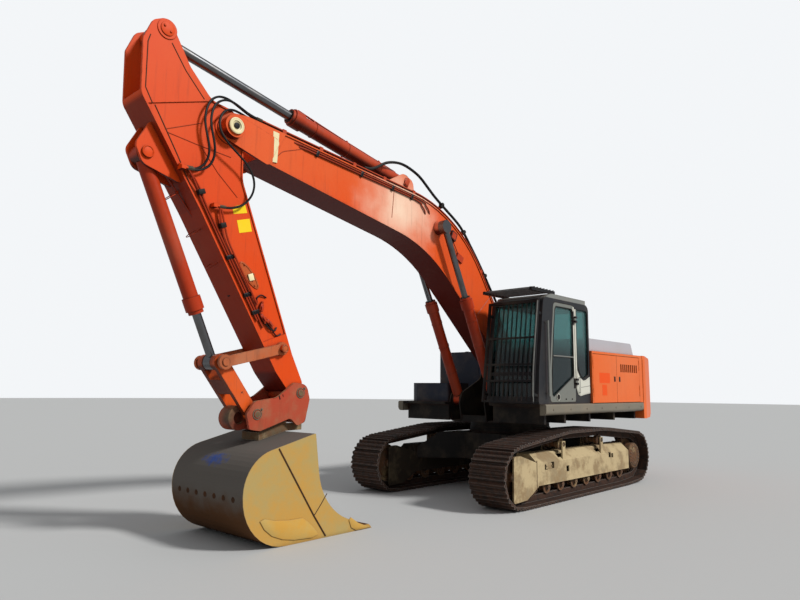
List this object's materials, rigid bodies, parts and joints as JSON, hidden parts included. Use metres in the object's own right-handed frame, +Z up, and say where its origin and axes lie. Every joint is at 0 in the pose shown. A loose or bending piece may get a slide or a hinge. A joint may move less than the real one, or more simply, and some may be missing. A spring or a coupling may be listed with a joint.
{
  "type": "crawler excavator",
  "caption": "Tracked hydraulic excavator with swinging upper works, guarded cab, mono boom, arm and quick coupler with a wide bucket.",
  "frame": {"origin": "centre of the machine's length and width, on the ground under the tracks; the swing axis stands 1.774 m behind it", "axes": "+X forward towards the bucket, +Y to the driver's left, the cab's side, +Z up"},
  "size_m": [10.7521, 3.01, 5.5855],
  "materials": {
    "orange_paint": "faded satin",
    "body_orange": "satin",
    "red_paint": "worn satin",
    "cab_grey": "satin",
    "roof_grey": "satin",
    "skirt_grey": "satin",
    "tank_blue_grey": "satin",
    "frame_dark": "dusty",
    "guard_black": "satin",
    "muddy_steel": "caked with dried mud",
    "track_steel": "rusty and worn",
    "roller_steel": "rusty",
    "bucket_steel": "worn and rusty",
    "adapter_steel": "muddy",
    "link_rust": "rusty",
    "cylinder_red": "satin",
    "rod_chrome": "polished",
    "engine": "matt",
    "glass": "tinted",
    "interior": "matt",
    "seat_fabric": "woven",
    "hose_rubber": "matt"
  },
  "bodies": {
    "undercarriage": {"centre_frame": "frame_dark", "slew_ring": "frame_dark", "side_frame_left": "muddy_steel", "side_frame_right": "muddy_steel", "track_left": "track_steel", "track_right": "track_steel", "idlers": "roller_steel", "sprockets": "roller_steel", "lower_rollers": "roller_steel", "carrier_rollers": "roller_steel"},
    "upper": {"main_frame": "frame_dark", "deck_skirts": "skirt_grey", "counterweight": "body_orange", "engine_block": "engine", "tanks": "tank_blue_grey", "tool_box": "tank_blue_grey", "bay_walls": "body_orange", "top_covers": "body_orange", "cab_shell": "cab_grey", "cab_roof": "roof_grey", "cab_glass": "glass", "front_guard": "guard_black", "roof_guard": "guard_black", "seat_base": "interior", "seat_pads": "seat_fabric", "handrails": "guard_black"},
    "cab_door": {"cab_door": "cab_grey", "door_glass": "glass"},
    "service_door_front": {"service_door_front": "body_orange"},
    "service_door_rear": {"service_door_rear": "body_orange"},
    "pump_door": {"pump_door": "body_orange"},
    "hood": {"hood": "body_orange"},
    "boom": {"boom_shell": "orange_paint", "boom_pipes": "orange_paint", "hose_outer": "hose_rubber", "hose_middle": "hose_rubber", "hose_inner": "hose_rubber", "boom_lamp": "orange_paint"},
    "boom_barrels": {"boom_barrels": "cylinder_red"},
    "boom_rods": {"boom_rods": "rod_chrome"},
    "arm_barrel": {"arm_barrel": "cylinder_red"},
    "arm_rod": {"arm_rod": "rod_chrome"},
    "arm": {"arm_shell": "orange_paint"},
    "bucket_barrel": {"bucket_barrel": "cylinder_red"},
    "bucket_rod": {"bucket_rod": "rod_chrome"},
    "side_links": {"side_links": "link_rust"},
    "push_link": {"push_link": "link_rust"},
    "bucket": {"coupler": "red_paint", "bucket_adapter": "adapter_steel", "bucket": "bucket_steel"}
  },
  "joints": [
    {"name": "swing", "type": "hinge", "parent": "undercarriage", "child": "upper", "pos_m": [-1.77378, 0, 0], "axis": [0, 0, 1], "continuous": true},
    {"name": "boom_lift", "type": "hinge", "parent": "upper", "child": "boom", "pos_m": [-1.54478, 0, 2.008], "axis": [0, -1, 0], "range_deg": [-70, 40]},
    {"name": "boom_barrel_pivot", "type": "hinge", "parent": "upper", "child": "boom_barrels", "pos_m": [-0.77878, 0, 1.5], "axis": [0, -1, 0], "range_deg": [-73.23, 41.87]},
    {"name": "boom_rod_slide", "type": "slide", "parent": "boom_barrels", "child": "boom_rods", "axis": [0.4431, 0, 0.8965], "range_m": [-0.9591, 0.5489]},
    {"name": "arm_swing", "type": "hinge", "parent": "boom", "child": "arm", "pos_m": [4.30952, 0, 4.6063], "axis": [0, 1, 0], "range_deg": [-87.5, 3.5], "deforming": ["hose_outer", "hose_middle", "hose_inner"]},
    {"name": "arm_barrel_pivot", "type": "hinge", "parent": "boom", "child": "arm_barrel", "pos_m": [1.17656, 0, 4.78032], "axis": [0, -1, 0], "range_deg": [-0.31, 6.55]},
    {"name": "arm_rod_slide", "type": "slide", "parent": "arm_barrel", "child": "arm_rod", "axis": [0.9851, 0, 0.1721], "range_m": [-1.608, 0.0662]},
    {"name": "bucket_curl", "type": "hinge", "parent": "arm", "child": "bucket", "pos_m": [3.20019, 0, 1.609], "axis": [0, 1, 0], "range_deg": [-40, 70]},
    {"name": "bucket_barrel_pivot", "type": "hinge", "parent": "arm", "child": "bucket_barrel", "pos_m": [5.21363, 0, 4.09894], "axis": [0, -1, 0], "range_deg": [-2.36, 1.37]},
    {"name": "bucket_rod_slide", "type": "slide", "parent": "bucket_barrel", "child": "bucket_rod", "axis": [-0.4091, 0, -0.9125], "range_m": [-0.4174, 0.7289]},
    {"name": "side_link_pivot", "type": "hinge", "parent": "arm", "child": "side_links", "pos_m": [3.48706, 0, 2.12768], "axis": [0, 1, 0], "range_deg": [-34.12, 59.68]},
    {"name": "push_link_pivot", "type": "hinge", "parent": "side_links", "child": "push_link", "pos_m": [4.24838, 0, 1.94613], "axis": [0, 1, 0], "range_deg": [-47.92, 27.4]},
    {"name": "cab_door_hinge", "type": "hinge", "parent": "upper", "child": "cab_door", "pos_m": [-1.48978, 1.475, 2.3], "axis": [0, 0, 1], "range_deg": [0, 170]},
    {"name": "service_door_front_hinge", "type": "hinge", "parent": "upper", "child": "service_door_front", "pos_m": [-2.04178, 1.489, 1.9], "axis": [0, 0, 1], "range_deg": [-100, 0]},
    {"name": "service_door_rear_hinge", "type": "hinge", "parent": "upper", "child": "service_door_rear", "pos_m": [-3.95378, 1.489, 1.9], "axis": [0, 0, 1], "range_deg": [0, 100]},
    {"name": "pump_door_hinge", "type": "hinge", "parent": "upper", "child": "pump_door", "pos_m": [-3.95378, -1.489, 1.9], "axis": [0, 0, -1], "range_deg": [0, 100]},
    {"name": "hood_hinge", "type": "hinge", "parent": "upper", "child": "hood", "pos_m": [-3.01378, 0, 2.33], "axis": [0, 1, 0], "range_deg": [0, 65]}
  ],
  "couplings": [
    {"joint": "boom_barrel_pivot", "follows": "boom_lift", "ratio": 1.0455},
    {"joint": "boom_rod_slide", "follows": "boom_lift", "m_per_rad": 0.7834},
    {"joint": "arm_barrel_pivot", "follows": "arm_swing", "ratio": -0.0743},
    {"joint": "arm_rod_slide", "follows": "arm_swing", "m_per_rad": 1.0516},
    {"joint": "bucket_barrel_pivot", "follows": "bucket_curl", "ratio": -0.033},
    {"joint": "bucket_rod_slide", "follows": "bucket_curl", "m_per_rad": 0.595},
    {"joint": "side_link_pivot", "follows": "bucket_curl", "ratio": 0.8518},
    {"joint": "push_link_pivot", "follows": "bucket_curl", "ratio": -0.6838}
  ]
}
